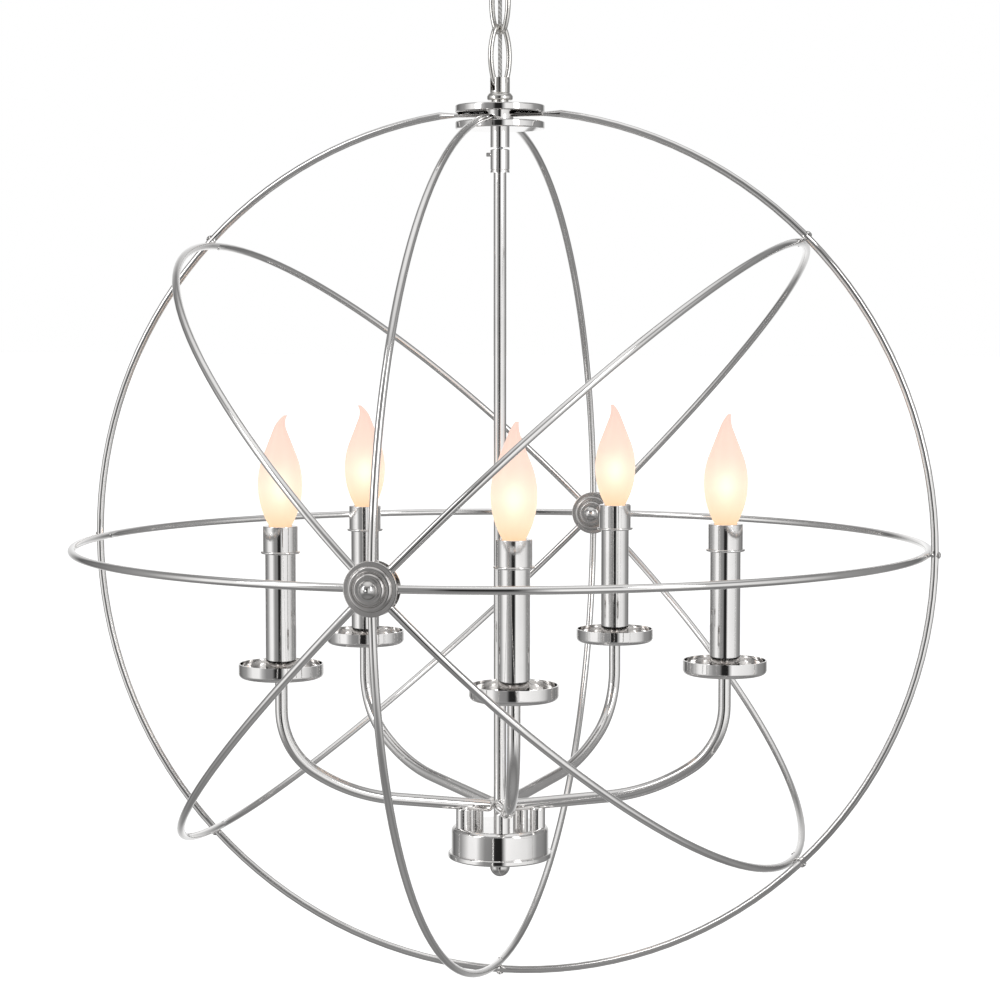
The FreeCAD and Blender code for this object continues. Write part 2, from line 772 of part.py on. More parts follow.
def make_ring(name, radius, ends, screw_angles):
    """A rod bent to a circle in its own XY plane, flattened and holed where it is fastened."""
    pieces = []
    holes = []
    ends = sorted(ends, key=lambda end: end.angle)
    for index, end in enumerate(ends):
        following = ends[(index + 1) % len(ends)]
        start = end.angle + math.degrees(math.asin(end.bend.value / radius.value))
        stop = following.angle - math.degrees(math.asin(following.bend.value / radius.value))
        sweep = stop - start if stop > start else stop + 360 - start
        arc = torus_arc("{}_arc_{}".format(name, index), radius, d.ring_rod, sweep)
        pieces.append(place(arc, 0, 0, 0, turn(Z_AXIS, start)))
        eye = cylinder("{}_eye_{}".format(name, index), end.eye / 2, end.thickness)
        eye = place(eye, 0, end.level - end.thickness / 2, 0, turn(X_AXIS, -90))
        parts_here = [eye]
        for side, side_name in ((-1, "a"), (1, "b")):
            parts_here += flattened_end("{}_{}{}".format(name, index, side_name), radius, end, side)
        blank = fuse("{}_end_{}".format(name, index), parts_here)
        pieces.append(place(blank, 0, 0, 0, turn(Z_AXIS, end.angle - 90)))
        holes.append(radial_cylinder("{}_hole_{}".format(name, index), end.hole, end.level - end.thickness,
                                     end.level + end.thickness, end.angle))
    for index, angle in enumerate(screw_angles):
        holes.append(radial_cylinder("{}_screw_hole_{}".format(name, index), d.screw_diameter / 2 + d.slip_gap,
                                     radius - d.ring_rod, radius + d.ring_rod, angle))
    return cut(name, fuse(name + "_rod", pieces), holes)


upright = turn(X_AXIS, 90)
ring_main = make_ring("ring_main", main_radius,
                      [top_end(90, main_radius - d.eye_drop + d.eye_thickness / 2)],
                      [0, 45, 135, 180, 225, 270, 315])
node(place(ring_main, 0, 0, orb, upright), "ring_main")

hub_angles = (90, -90)
RING_TILTS = (("ring_level", 0), ("ring_tilt_right", 45), ("ring_tilt_left", -45))
for stack, (name, tilt) in enumerate(RING_TILTS, start=1):
    ring = make_ring(name, ring_radius, [hub_end(angle, stack) for angle in hub_angles], [0, 180])
    node(place(ring, 0, 0, orb, turn(Y_AXIS, -tilt)), name)

vertical_ends = [hub_end(angle, 0) for angle in hub_angles]
vertical_ends.append(top_end(0, main_radius - d.eye_drop - d.eye_thickness / 2))
ring_vertical = make_ring("ring_vertical", ring_radius, vertical_ends, [180])
node(place(ring_vertical, 0, 0, orb, turn(Y_AXIS, -90)), "ring_vertical")


# ---------------------------------------------------------------- hub caps, studs and crossing screws

stack_half = d.tab_thickness * 2
hub_reach = ring_radius - d.hub_sag
stud_radius = d.hub_stud / 2
stud_hole = stud_radius + d.slip_gap


def make_hub_cap(name, base):
    """A turned cap in two steps; its flat back bears on the stack of ring tabs."""
    rim = d.cap_diameter / 2
    step = d.cap_step_diameter / 2
    crown = d.cap_crown_diameter / 2
    groove = d.cap_rim / 3
    return spun(name, [
        (stud_hole, base),
        (rim, base),
        (rim, base + d.cap_rim - groove),
        (rim - groove, base + d.cap_rim, groove),
        (step, base + d.cap_rim),
        (step - (d.cap_step_height - d.cap_rim), base + d.cap_step_height, d.cap_step_height - d.cap_rim),
        (crown + groove * 2, base + d.cap_step_height),
        (crown + groove, base + d.cap_step_height - groove),
        (crown, base + d.cap_step_height - groove),
        (crown - (d.cap_crown_height - d.cap_step_height), base + d.cap_crown_height,
         d.cap_crown_height - d.cap_step_height + groove),
        (stud_hole, base + d.cap_crown_height)])


def make_hub_nut(name, base):
    """A domed nut with a small point, blind-threaded for the stud."""
    radius = d.nut_diameter / 2
    dome = radius - d.nut_flange
    point = d.nut_flange / 2
    return spun(name, [
        (stud_radius + d.thread_gap, base),
        (radius, base),
        (radius, base + d.nut_flange),
        (dome, base + d.nut_flange),
        (point * 2, base + d.nut_height - point * 2, dome + point),
        (0, base + d.nut_height),
        (0, base + d.nut_thread_depth),
        (stud_radius + d.thread_gap, base + d.nut_thread_depth)])


hub_nuts = []
hub_studs = []
for hub_name, y_sign in (("front", -1), ("back", 1)):
    outwards = turn(X_AXIS, -90 * y_sign)
    inwards = turn(X_AXIS, 90 * y_sign)
    caps = []
    for face, direction in (("outer", outwards), ("inner", inwards)):
        cap = make_hub_cap("{}_{}_cap".format(hub_name, face), stack_half)
        caps.append(place(cap, 0, hub_reach * y_sign, orb, direction))
        nut = make_hub_nut("{}_{}_nut".format(hub_name, face), stack_half + d.cap_crown_height)
        hub_nuts.append(place(nut, 0, hub_reach * y_sign, orb, direction))
    node(group(hub_name + "_hub_caps", caps), hub_name + "_hub_caps")
    half_stud = stack_half + d.cap_crown_height + d.nut_thread_depth - d.slip_gap
    stud = cylinder(hub_name + "_stud", stud_radius, half_stud * 2)
    hub_studs.append(place(stud, 0, hub_reach * y_sign - half_stud, orb, turn(X_AXIS, -90)))
node(group("hub_nuts", hub_nuts), "hub_nuts")
node(group("hub_studs", hub_studs), "hub_studs")


def make_crossing_screw(name, angle):
    """A round-headed screw, driven inwards through the main ring and the ring that it crosses."""
    head_seat = d.orb_diameter / 2
    head = d.screw_head_diameter / 2
    shank = d.screw_diameter / 2
    tip = ring_radius - d.ring_rod / 2 - d.screw_proud
    crown = head + d.screw_head_height / 2
    screw = spun(name, [
        (0, tip),
        (shank, tip),
        (shank, head_seat),
        (head, head_seat),
        (head, head_seat + d.screw_head_height / 3),
        (head / 3, head_seat + d.screw_head_height, crown),
        (0, head_seat + d.screw_head_height)])
    return place(screw, 0, 0, orb, turn(Y_AXIS, 90 - angle))


node(group("crossing_screws", [make_crossing_screw("crossing_screw_{}".format(angle), angle)
                               for angle in (0, 45, 135, 180, 225, 270, 315)]), "crossing_screws")


# ---------------------------------------------------------------- swivel and stem

seat_inner = d.swivel_ball / 2 + d.swivel_play
seat_outer = seat_inner + d.swivel_seat_wall
cavity = seat_outer + d.swivel_play
mouth = d.swivel_mouth / 2
seat_mouth = d.swivel_seat_mouth / 2
swivel_radius = d.swivel_diameter / 2
neck_radius = d.swivel_neck / 2
wire_bore = d.swivel_wire_bore / 2


def depth_at(sphere, radius):
    """How far above or below its centre a sphere has the given radius."""
    return root_of(sphere * sphere - radius * radius)


node(spun("swivel_socket", [
    (mouth, swivel_bottom),
    (swivel_radius, swivel_bottom),
    (swivel_radius, lower_plate_bottom),
    (thread_hole, lower_plate_bottom),
    (thread_hole, ball_height),
    (cavity, ball_height),
    (mouth, ball_height - depth_at(cavity, mouth), -cavity)]), "swivel_socket")

seat_top = ball_height + d.swivel_seat_rise
node(spun("swivel_seat", [
    (seat_mouth, ball_height - depth_at(seat_outer, seat_mouth)),
    (depth_at(seat_outer, d.swivel_seat_rise), seat_top, seat_outer),
    (depth_at(seat_inner, d.swivel_seat_rise), seat_top),
    (seat_mouth, ball_height - depth_at(seat_inner, seat_mouth), -seat_inner)]), "swivel_seat")

ball_radius = d.swivel_ball / 2
neck_bottom = coupling_top - d.coupling_neck_depth
node(spun("swivel_ball", [
    (wire_bore, neck_bottom),
    (neck_radius, neck_bottom),
    (neck_radius, ball_height - depth_at(ball_radius, neck_radius)),
    (wire_bore, ball_height + depth_at(ball_radius, wire_bore), ball_radius)]), "swivel_ball")

# the coupling joins the swivel's neck to the stem; a set screw locks it
stem_radius = d.stem_diameter / 2
stem_thread = stem_radius + d.thread_gap
neck_hole = neck_radius + d.thread_gap
web_bottom = neck_bottom - d.coupling_web
groove_bottom = coupling_bottom + d.coupling_groove_rise
groove = d.coupling_groove
coupling_turned = spun("coupling_turned", [
    (stem_thread, coupling_bottom),
    (swivel_radius, coupling_bottom),
    (swivel_radius, groove_bottom),
    (swivel_radius - groove, groove_bottom + groove),
    (swivel_radius, groove_bottom + groove * 2),
    (swivel_radius, coupling_top - d.coupling_edge),
    (swivel_radius - d.coupling_edge, coupling_top),
    (neck_hole, coupling_top),
    (neck_hole, neck_bottom),
    (wire_bore, neck_bottom),
    (wire_bore, web_bottom),
    (stem_thread, web_bottom)])
set_screw_radius = d.set_screw_diameter / 2
set_screw_height = coupling_top - d.set_screw_drop
sideways = turn(Y_AXIS, -90)
set_screw_hole = cylinder("set_screw_hole", set_screw_radius + d.thread_gap, d.swivel_diameter)
place(set_screw_hole, 0, 0, set_screw_height, sideways)
node(cut("stem_coupling", coupling_turned, [set_screw_hole]), "stem_coupling")

set_screw = cylinder("set_screw", set_screw_radius, swivel_radius + d.set_screw_stand - neck_hole)
node(place(set_screw, -neck_hole, 0, set_screw_height, sideways), "set_screw")

cover_bottom = body_bottom - d.cover_dome
stem_bottom = cover_bottom - d.finial_thread_depth + d.slip_gap
node(spun("stem", tube_steps(stem_radius, d.stem_bore / 2, stem_bottom, web_bottom)), "stem")


# ---------------------------------------------------------------- round body, its cover, nut and finial

body_radius = d.body_diameter / 2
body_inner = body_radius - d.body_wall
body_ceiling = body_top - d.body_wall
lip_radius = d.body_lip_diameter / 2
lip_round = (lip_radius - body_radius) / 2
lip_top = body_bottom + d.body_lip_height
stem_hole = stem_radius + d.slip_gap
body_turned = spun("body_turned", [
    (body_inner, body_bottom),
    (lip_radius - lip_round, body_bottom),
    (lip_radius, body_bottom + lip_round, lip_round),
    (lip_radius, lip_top - lip_round),
    (lip_radius - lip_round, lip_top, lip_round),
    (body_radius, lip_top),
    (body_radius, body_top - d.body_shoulder),
    (body_radius - d.body_shoulder, body_top, d.body_shoulder),
    (stem_hole, body_top),
    (stem_hole, body_ceiling),
    (body_radius - d.body_shoulder, body_ceiling),
    (body_inner, body_top - d.body_shoulder, d.body_wall - d.body_shoulder)])

arm_angles = [index * 360 / int(d.arm_count.value) for index in range(int(d.arm_count.value))]
post_wire = d.post_wire_bore / 2
wire_holes = []
for index, angle in enumerate(arm_angles, start=1):
    hole = cylinder("body_wire_hole_{}".format(index), post_wire, d.body_wall * 2)
    wire_holes.append(place(hole, cos_of(angle) * d.post_radius, sin_of(angle) * d.post_radius,
                            body_top - d.body_wall * 1.5))
node(cut("arm_body", body_turned, wire_holes), "arm_body")

cover_radius = body_inner - d.slip_gap
dome_radius = (cover_radius * cover_radius + d.cover_dome * d.cover_dome) / (2 * d.cover_dome)
node(spun("body_cover", [
    (stem_hole, cover_bottom),
    (cover_radius, body_bottom, dome_radius),
    (cover_radius, body_bottom + d.cover_thickness),
    (stem_hole, cover_bottom + d.cover_thickness, -dome_radius)]), "body_cover")

node(spun("stem_nut", tube_steps(d.stem_nut_diameter / 2, stem_thread, body_ceiling - d.stem_nut_height,
                                 body_ceiling)), "stem_nut")

finial_radius = d.finial_diameter / 2
finial_equator = cover_bottom - d.finial_skirt
thread_end = cover_bottom - d.finial_thread_depth
node(spun("bottom_finial", [
    (0, finial_equator - finial_radius),
    (finial_radius, finial_equator, finial_radius),
    (finial_radius, cover_bottom),
    (stem_thread, cover_bottom),
    (stem_thread, thread_end),
    (0, thread_end)]), "bottom_finial")


# ---------------------------------------------------------------- arms and their posts

arm_radius = d.arm_diameter / 2
arm_bore = arm_radius - d.arm_wall
arm_at_post = arm_root + (d.post_radius - d.arm_root_radius) * tan_of(d.arm_slope)
post_top = arm_at_post - arm_radius + d.post_saddle


def make_arm(name, angle):
    """A bent tube: up under the candle, a tight bend, a wide sweep and a sloping run to the stem."""
    body = new_body(name + "_bent")
    section = new_sketch(body, name + "_section", "XY_Plane", dish_bottom)
    draw_circles(section, [(d.candle_radius, 0, arm_radius), (d.candle_radius, 0, arm_bore)])
    path = draw(new_sketch(body, name + "_path"), [
        (d.candle_radius, dish_bottom),
        (d.candle_radius, upright_end),
        (bend_end_x, bend_end, -bend),
        (sweep_end_x, sweep_end, -sweep),
        (d.arm_root_radius, arm_root)], closed=False)
    pipe = body.newObject("PartDesign::AdditivePipe", name + "_pipe")
    pipe.Profile = section
    pipe.Spine = path
    end_ball = doc.addObject("Part::Sphere", name + "_end")
    bind(end_ball, "Radius", arm_radius)
    place(end_ball, d.arm_root_radius, 0, arm_root)
    wire_hole = place(cylinder(name + "_wire_hole", post_wire, arm_at_post - post_top), d.post_radius, 0,
                      post_top - d.post_saddle)
    arm = cut(name, fuse(name + "_blank", [body, end_ball]), [wire_hole])
    return place(arm, 0, 0, 0, turn(Z_AXIS, angle))


def make_post(name, angle):
    """A hollow post with a rounded top, hollowed out as a saddle for the arm above it."""
    radius = d.post_diameter / 2
    turned = spun(name + "_turned", [
        (post_wire, body_top),
        (radius, body_top),
        (radius, post_top - d.post_crown),
        (radius - d.post_crown, post_top, d.post_crown),
        (post_wire, post_top)])
    saddle = cylinder(name + "_saddle", arm_radius + d.slip_gap, d.post_diameter * 2)
    place(saddle, -d.post_diameter * cos_of(d.arm_slope), 0,
          arm_at_post - d.post_diameter * sin_of(d.arm_slope), turn(Y_AXIS, 90 - d.arm_slope))
    post = cut(name, turned, [saddle])
    return place(post, cos_of(angle) * d.post_radius, sin_of(angle) * d.post_radius, 0, turn(Z_AXIS, angle))


posts = []
for index, angle in enumerate(arm_angles, start=1):
    name = "arm_{}".format(index)
    node(make_arm(name, angle), name)
    posts.append(make_post("arm_post_{}".format(index), angle))
node(group("arm_posts", posts), "arm_posts")


# ---------------------------------------------------------------- candles

tip_radius = d.tip_thread_diameter / 2
tip_hole = tip_radius + d.slip_gap
tip_thread = tip_radius + d.thread_gap
nut_top = sleeve_bottom + d.candle_nut_height
tip_top = dish_bottom + d.tip_thread_rise
lamp_bottom = holder_top - d.lamp_sunk
lamp_base_top = lamp_bottom + d.lamp_base_length
socket_floor = lamp_bottom - d.running_gap


def make_dish(name):
    """A spun drip dish with a rounded corner, holed for the threaded tube."""
    radius = d.dish_diameter / 2
    corner = d.dish_corner
    rim = dish_bottom + d.dish_height
    return spun(name, [
        (tip_hole, dish_bottom),
        (radius - corner, dish_bottom),
        (radius, dish_bottom + corner, corner),
        (radius, rim),
        (radius - d.dish_wall, rim),
        (radius - d.dish_wall, dish_bottom + corner),
        (radius - corner, sleeve_bottom, d.dish_wall - corner),
        (tip_hole, sleeve_bottom)])


def make_sleeve(name):
    radius = d.sleeve_diameter / 2
    return spun(name, tube_steps(radius, radius - d.sleeve_wall, sleeve_bottom, sleeve_top))


def make_holder(name):
    """A spun cap over the sleeve's top: rolled bead below, a mouth for the lamp above."""
    radius = d.holder_diameter / 2
    inner = d.sleeve_diameter / 2 + d.slip_gap
    roll = d.holder_bead_height / 2
    bead = radius + d.holder_bead - roll
    edge = d.holder_lip / 2
    mouth_radius = d.holder_mouth_diameter / 2
    return spun(name, [
        (inner, holder_bottom),
        (bead, holder_bottom),
        (bead + roll, holder_bottom + roll, roll),
        (bead, holder_bottom + roll * 2, roll),
        (radius, holder_bottom + roll * 2),
        (radius, holder_top - edge),
        (radius - edge, holder_top, edge),
        (mouth_radius, holder_top),
        (mouth_radius, sleeve_top),
        (inner, sleeve_top)])


def make_socket(name):
    """A lamp socket on a hollow stem that is screwed onto the threaded tube."""
    radius = d.socket_diameter / 2
    stem_outer = d.socket_stem_diameter / 2
    bore = d.lamp_base_diameter / 2 + d.slip_gap
    wires = d.socket_wire_bore / 2
    return spun(name, [
        (tip_thread, nut_top),
        (stem_outer, nut_top),
        (stem_outer, socket_floor - d.socket_web),
        (radius, socket_floor - d.socket_web),
        (radius, lamp_base_top),
        (bore, lamp_base_top),
        (bore, socket_floor),
        (wires, socket_floor),
        (wires, tip_top),
        (tip_thread, tip_top)])


def make_tip_tube(name):
    return spun(name, tube_steps(tip_radius, d.tip_thread_bore / 2, dish_bottom - d.tip_thread_sunk, tip_top))


def make_candle_nut(name):
    return spun(name, tube_steps(d.candle_nut_diameter / 2, tip_thread, sleeve_bottom, nut_top))


def belly_arc(rise, narrowing):
    """Radius of the arc that is upright at the belly and narrows by this much over this height."""
    return (rise * rise + narrowing * narrowing) / (2 * narrowing)


def make_lamp(name):
    """A flame lamp: screw base, blown belly, drawn-out point and a bent tip."""
    base = d.lamp_base_diameter / 2
    neck = d.lamp_neck_diameter / 2
    belly = d.lamp_belly_diameter / 2
    lamp_shoulder = d.lamp_shoulder_diameter / 2
    point = d.lamp_point_diameter / 2
    tip = d.lamp_tip_diameter / 2
    point_height = holder_top + d.lamp_point_rise
    tip_height = lamp_bottom + d.lamp_length - tip
    blown = spun(name + "_blown", [
        (0, lamp_bottom),
        (base, lamp_bottom),
        (base, lamp_base_top),
        (neck, holder_top),
        (belly, holder_top + d.lamp_belly_rise, belly_arc(d.lamp_belly_rise, belly - neck)),
        (lamp_shoulder, holder_top + d.lamp_shoulder_rise,
         belly_arc(d.lamp_shoulder_rise - d.lamp_belly_rise, belly - lamp_shoulder)),
        (point, point_height),
        (0, point_height)])
    bends = [(point, 0, point_height),
             ((point + tip) / 2, d.lamp_tip_lean / 4, (point_height + tip_height) / 2),
             (tip, d.lamp_tip_lean, tip_height)]
    sections = []
    for radius, x, z in bends:
        section = doc.addObject("Part::Circle", "{}_tip_section_{}".format(name, len(sections)))
        bind(section, "Radius", radius)
        sections.append(place(section, x, 0, z))
    drawn = doc.addObject("Part::Loft", name + "_drawn")
    drawn.Sections = sections
    drawn.Solid = True
    end = doc.addObject("Part::Sphere", name + "_tip")
    bind(end, "Radius", tip)
    place(end, d.lamp_tip_lean, 0, tip_height)
    return fuse(name, [blown, drawn, end])


def at_candle(thing, angle, own_turn=0):
    return place(thing, cos_of(angle) * d.candle_radius, sin_of(angle) * d.candle_radius, 0, turn(Z_AXIS, own_turn))


# which way each lamp's bent tip points
LAMP_TURNS = (65, 140, 194, 14, 74)
grouped = {"candle_holders": (make_holder, []), "lamp_sockets": (make_socket, []),
           "candle_nipples": (make_tip_tube, []), "candle_nuts": (make_candle_nut, [])}
for index, angle in enumerate(arm_angles, start=1):
    for kind, maker in (("drip_dish", make_dish), ("candle_sleeve", make_sleeve)):
        name = "{}_{}".format(kind, index)
        node(at_candle(maker(name), angle), name)
    for kind, (maker, made) in grouped.items():
        made.append(at_candle(maker("{}_{}".format(kind, index)), angle))
    lamp_turn = LAMP_TURNS[(index - 1) % len(LAMP_TURNS)]
    name = "bulb_{}".format(index)
    node(at_candle(make_lamp(name), angle, lamp_turn), name)
for kind, (maker, made) in grouped.items():
    node(group(kind, made), kind)


# ---------------------------------------------------------------- checks and files

doc.recompute()
faults = [thing.Name for thing in doc.Objects if "Invalid" in thing.State or "Error" in thing.State]
faults += [thing.Label for thing in nodes if thing.Shape.isNull() or not thing.Shape.isValid()]
if faults:
    raise ValueError("failed: " + ", ".join(faults))
os.makedirs("parts", exist_ok=True)
for thing in nodes:
    thing.Shape.exportStep("parts/{}.step".format(thing.Label))
print("pieces", len(nodes), "solids", sum(len(thing.Shape.Solids) for thing in nodes))
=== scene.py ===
import bpy
import math
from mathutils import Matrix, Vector


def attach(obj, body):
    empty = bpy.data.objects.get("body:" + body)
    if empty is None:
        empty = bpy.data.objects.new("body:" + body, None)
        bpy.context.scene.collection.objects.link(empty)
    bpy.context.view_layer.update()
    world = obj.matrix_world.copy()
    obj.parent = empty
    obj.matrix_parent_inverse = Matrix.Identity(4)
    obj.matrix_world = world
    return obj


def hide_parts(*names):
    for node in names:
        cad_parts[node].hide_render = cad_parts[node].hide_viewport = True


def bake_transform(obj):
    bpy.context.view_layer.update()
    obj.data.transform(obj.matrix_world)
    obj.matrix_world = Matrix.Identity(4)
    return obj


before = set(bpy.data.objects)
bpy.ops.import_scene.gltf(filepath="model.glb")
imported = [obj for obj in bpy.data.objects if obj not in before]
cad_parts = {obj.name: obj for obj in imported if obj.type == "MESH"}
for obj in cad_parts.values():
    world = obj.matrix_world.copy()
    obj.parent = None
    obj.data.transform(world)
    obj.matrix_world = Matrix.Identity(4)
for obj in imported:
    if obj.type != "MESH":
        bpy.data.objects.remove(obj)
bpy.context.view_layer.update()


# Crossbar: a strip of zinc-plated steel with folded edges, punched with two slots for the screws
# of the outlet box and a tapped hole in the middle. It is the only piece that is fixed to the
# ceiling. The hidden studs, the stem's nut and the swivel's ball have the same zinc plate.

def finish(name, metallic, roughness):
    """A new material: its node tree, its shader and a point in the object's own space."""
    material = bpy.data.materials.new(name)
    material.use_nodes = True
    tree = material.node_tree
    shader = tree.nodes["Principled BSDF"]
    shader.inputs["Metallic"].default_value = metallic
    shader.inputs["Roughness"].default_value = roughness
    place = tree.nodes.new("ShaderNodeTexCoord")
    return material, tree, shader, place.outputs["Object"]


def add(tree, kind, sockets=(), **settings):
    """Adds a node with its settings. Each socket is paired with the output that feeds it, or its value."""
    node = tree.nodes.new("ShaderNode" + kind)
    for key, value in settings.items():
        if key in node.inputs:
            node.inputs[key].default_value = value
        else:
            setattr(node, key, value)
    for socket, source in sockets:
        if isinstance(source, bpy.types.NodeSocket):
            tree.links.new(source, node.inputs[socket])
        else:
            node.inputs[socket].default_value = source
    return node


def ramp(tree, output, stops):
    """A colour ramp over (position, grey or colour) stops."""
    node = add(tree, "ValToRGB", [("Fac", output)])
    elements = node.color_ramp.elements
    for position, colour in stops[:-2]:
        elements.new(position)
    for element, (position, colour) in zip(elements, stops):
        element.position = position
        if not isinstance(colour, tuple):
            colour = (colour, colour, colour)
        element.color = (*colour, 1.0)
    return node.outputs["Color"]


def paint(tree, shader, output, *stops):
    """Colours the surface by a ramp over a texture."""
    tree.links.new(ramp(tree, output, stops), shader.inputs["Base Color"])


def bump(tree, shader, output, strength, height):
    """Raises the surface by a texture, at most by the height in metres."""
    relief = add(tree, "Bump", [("Height", output)], Strength=strength, Distance=height)
    tree.links.new(relief.outputs["Normal"], shader.inputs["Normal"])


def dress(material, *nodes):
    """Gives CAD pieces a finish."""
    for node in nodes:
        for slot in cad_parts[node].material_slots:
            slot.material = material


zinc, tree, shader, spot = finish("zinc_plate", metallic=0.9, roughness=0.42)
spangle = add(tree, "TexVoronoi", [("Vector", spot)], Scale=160.0)
paint(tree, shader, spangle.outputs["Distance"], (0.0, (0.50, 0.52, 0.54)), (1.0, (0.66, 0.67, 0.69)))
grain = add(tree, "TexNoise", [("Vector", spot)], Scale=420.0, Detail=3.0)
bump(tree, shader, grain.outputs["Fac"], strength=0.25, height=0.0002)
dress(zinc, "crossbar", "hub_studs", "stem_nut", "swivel_ball")


# Threaded tubes and lock nuts: yellow brass, cut with a fine pipe thread. One hangs the loop from
# the crossbar, one clamps the plates of the cage, and five carry the dishes and sockets.

brass, tree, shader, spot = finish("threaded_brass", metallic=1.0, roughness=0.3)
tarnish = add(tree, "TexNoise", [("Vector", spot)], Scale=60.0, Detail=4.0)
paint(tree, shader, tarnish.outputs["Fac"], (0.3, (0.50, 0.36, 0.15)), (0.7, (0.78, 0.60, 0.30)))
thread = add(tree, "TexWave", [("Vector", spot)], bands_direction="Z", Scale=150.0)
bump(tree, shader, thread.outputs["Fac"], strength=0.6, height=0.0003)
dress(brass, "canopy_nipple", "top_nipple", "candle_nipples", "candle_nuts")


# Canopy, its screw collar and the loop: spun and turned brass under polished chrome plate. The
# collar screws up the loop's thread and presses the canopy's rim against the ceiling.

DULL_SHARE = 0.94


def chrome_finish(name, colour, roughness, haze):
    """Bright plate: a faint orange peel, and buffing haze that softens the mirror in places."""
    plate, tree, shader, spot = finish(name, metallic=1.0, roughness=roughness)
    wipe = add(tree, "TexNoise", [("Vector", spot)], Scale=38.0, Detail=3.0)
    dull = tuple(part * DULL_SHARE for part in colour)
    paint(tree, shader, wipe.outputs["Fac"], (0.35, dull), (0.65, colour))
    softer = ramp(tree, wipe.outputs["Fac"], [(0.3, roughness), (0.75, roughness + haze)])
    tree.links.new(softer, shader.inputs["Roughness"])
    peel = add(tree, "TexNoise", [("Vector", spot)], Scale=300.0, Detail=2.0)
    bump(tree, shader, peel.outputs["Fac"], strength=0.04, height=0.0002)
    return plate


chrome = chrome_finish("polished_chrome", (0.925, 0.913, 0.903), roughness=0.04, haze=0.05)
dress(chrome, "canopy", "screw_collar", "canopy_loop")


# Chain: three oval links of round steel wire, bent and butted, with a soft nickel-chrome plate
# that is warmer and duller than the rings.

link_plate = chrome_finish("link_plate", (0.80, 0.785, 0.755), roughness=0.13, haze=0.08)
dress(link_plate, "chain_link_1", "chain_link_2", "chain_link_3")


# Supply cord: flexible wires in a clear silvery jacket. It comes down out of the canopy, lies
# along one side of the chain and goes into the hollow of the fixture loop.

CHAIN_TURN = 56.0
CORD_LEAN = 48.4
CORD_TURN = math.radians(CHAIN_TURN + CORD_LEAN)
CORD_RADIUS = 0.0015
CORD_SIDES = 12
# the distance from the chain's line and the height of each point of the route
CORD_ROUTE = [(0.0072, -0.0090), (0.0072, -0.0360), (0.0077, -0.0760), (0.0069, -0.1180), (0.0071, -0.1500),
              (0.00485, -0.1675), (0.0048, -0.1802), (0.0016, -0.1860), (0.0015, -0.1970)]
cord_line = bpy.data.curves.new("supply_cord_route", "CURVE")
cord_line.dimensions = "3D"
spline = cord_line.splines.new("NURBS")
spline.points.add(len(CORD_ROUTE) - 1)
for point, (out, height) in zip(spline.points, CORD_ROUTE):
    point.co = (out * math.cos(CORD_TURN), out * math.sin(CORD_TURN), height, 1.0)
spline.order_u = 3
spline.use_endpoint_u = True
spline.resolution_u = 12
route = bpy.data.objects.new("supply_cord_route", cord_line)
run = [vertex.co.copy() for vertex in bpy.data.meshes.new_from_object(route).vertices]
bpy.data.objects.remove(route)

jacket, tree, shader, spot = finish("clear_jacket", metallic=0.0, roughness=0.22)
strands = add(tree, "TexWave", [("Vector", spot)], bands_direction="DIAGONAL", Scale=180.0, Distortion=1.5)
paint(tree, shader, strands.outputs["Fac"], (0.2, (0.40, 0.39, 0.37)), (0.8, (0.70, 0.70, 0.69)))
bump(tree, shader, strands.outputs["Fac"], strength=0.15, height=0.0002)
shader.inputs["Coat Weight"].default_value = 0.6


def put_in_scene(name, shape):
    """A new object in the scene, made of a mesh, a light or a camera."""
    thing = bpy.data.objects.new(name, shape)
    bpy.context.collection.objects.link(thing)
    return thing


def cord_tube(name, line):
    """A closed round tube along points that lie in one upright plane."""
    flat = Vector((-math.sin(CORD_TURN), math.cos(CORD_TURN), 0.0))
    verts, faces = [], []
    for place, point in enumerate(line):
        ahead = line[min(place + 1, len(line) - 1)] - line[max(place - 1, 0)]
        side = ahead.normalized().cross(flat)
        for turn in range(CORD_SIDES):
            lean = 2 * math.pi * turn / CORD_SIDES
            verts.append(point + CORD_RADIUS * (math.cos(lean) * flat + math.sin(lean) * side))
    for place in range(len(line) - 1):
        low = place * CORD_SIDES
        for turn in range(CORD_SIDES):
            after = (turn + 1) % CORD_SIDES
            faces.append((low + turn, low + after, low + CORD_SIDES + after, low + CORD_SIDES + turn))
    faces.append(tuple(reversed(range(CORD_SIDES))))
    faces.append(tuple(range(len(verts) - CORD_SIDES, len(verts))))
    mesh = bpy.data.meshes.new(name)
    mesh.from_pydata(verts, [], faces)
    for face in mesh.polygons:
        face.use_smooth = len(face.vertices) == 4
    mesh.materials.append(jacket)
    return put_in_scene(name, mesh)


# the cord is cut into one length beside each joint of the chain; each row gives the body above, the body below,
# the height of their joint, and the height where the length ends, and only that last height is read
CORD_LENGTHS = [("ceiling_mount", "link_1", -0.05825, -0.0757),
                ("link_1", "link_2", -0.0977, -0.1154),
                ("link_2", "link_3", -0.1374, -0.1551),
                ("link_3", "cage", -0.1732, -0.1970)]
first = 0
for number, (above, below, joint_height, end_height) in enumerate(CORD_LENGTHS, start=1):
    last = min(range(len(run)), key=lambda place: abs(run[place].z - end_height))
    line = run[first:last + 1]
    first = last
    length = cord_tube("supply_cord_{}".format(number), line)
    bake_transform(length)
    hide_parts("supply_cord")


# Fixture loop: a turned chrome cup with a slot for the last link and a pin across it. It is
# screwed to a nipple and draws the two round plates together over the eyes of the two upright rings.

dress(link_plate, "fixture_loop", "loop_pin")
dress(chrome, "loop_washer", "top_plate", "lower_plate")


# Ring cage: five rings of round steel rod, butt welded, flattened where they are fastened,
# polished and chromed. Small round-headed screws lock them where they cross the main ring.

